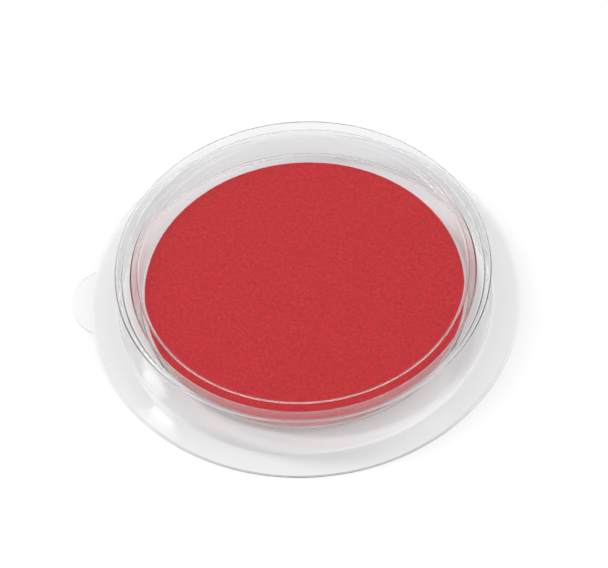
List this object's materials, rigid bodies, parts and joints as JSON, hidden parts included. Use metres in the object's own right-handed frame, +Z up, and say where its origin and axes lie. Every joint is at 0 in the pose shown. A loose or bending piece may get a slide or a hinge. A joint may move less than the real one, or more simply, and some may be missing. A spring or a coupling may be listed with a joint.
{
  "type": "ink pad",
  "caption": "Round foam ink pad in a clear formed tray, under a clear drop-on lid that lifts off by a pull tab.",
  "frame": {"origin": "on the surface that the pad lies on, at the centre of the round flange", "axes": "+Z up out of the pad; the lid's pull tab is on -X"},
  "size_m": [0.1565, 0.15, 0.0204],
  "materials": {
    "clear_tray": "clear formed sheet",
    "clear_lid": "clear formed sheet",
    "inked_foam": "fine open-cell foam, wet with ink",
    "adhesive": "milky transfer film"
  },
  "bodies": {
    "tray": {"base_tray": "clear_tray", "adhesive_disc": "adhesive", "foam_pad": "inked_foam"},
    "cover": {"lid": "clear_lid"}
  },
  "joints": [
    {"name": "lid_lift", "type": "slide", "parent": "tray", "child": "cover", "axis": [0, 0, 1], "range_m": [0, 0.06]}
  ]
}
